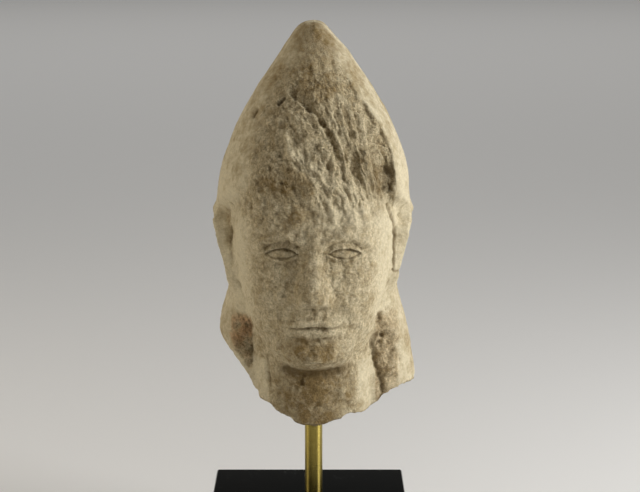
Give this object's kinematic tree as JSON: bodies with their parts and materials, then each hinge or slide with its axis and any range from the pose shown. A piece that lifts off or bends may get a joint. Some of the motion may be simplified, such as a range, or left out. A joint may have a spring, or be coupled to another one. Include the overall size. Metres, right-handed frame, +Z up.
{
  "type": "votary head sculpture on a stand",
  "caption": "Carved limestone votary head in a tall pointed cap, broken at the neck and weathered, on a brass rod set in a square black stone block.",
  "frame": {"origin": "centre of the block's underside", "axes": "+Z up along the rod, -Y the way the face looks, +X to the right of someone who looks at the face"},
  "size_m": [0.0934, 0.0945, 0.2498],
  "materials": {
    "limestone": "weathered pale limestone, browner and pitted where it is worn",
    "brass": "satin polished round bar",
    "black_stone": "polished black stone with a few faint pale flecks"
  },
  "bodies": {
    "root": {"head": "limestone", "rod": "brass", "base": "black_stone"}
  },
  "joints": []
}
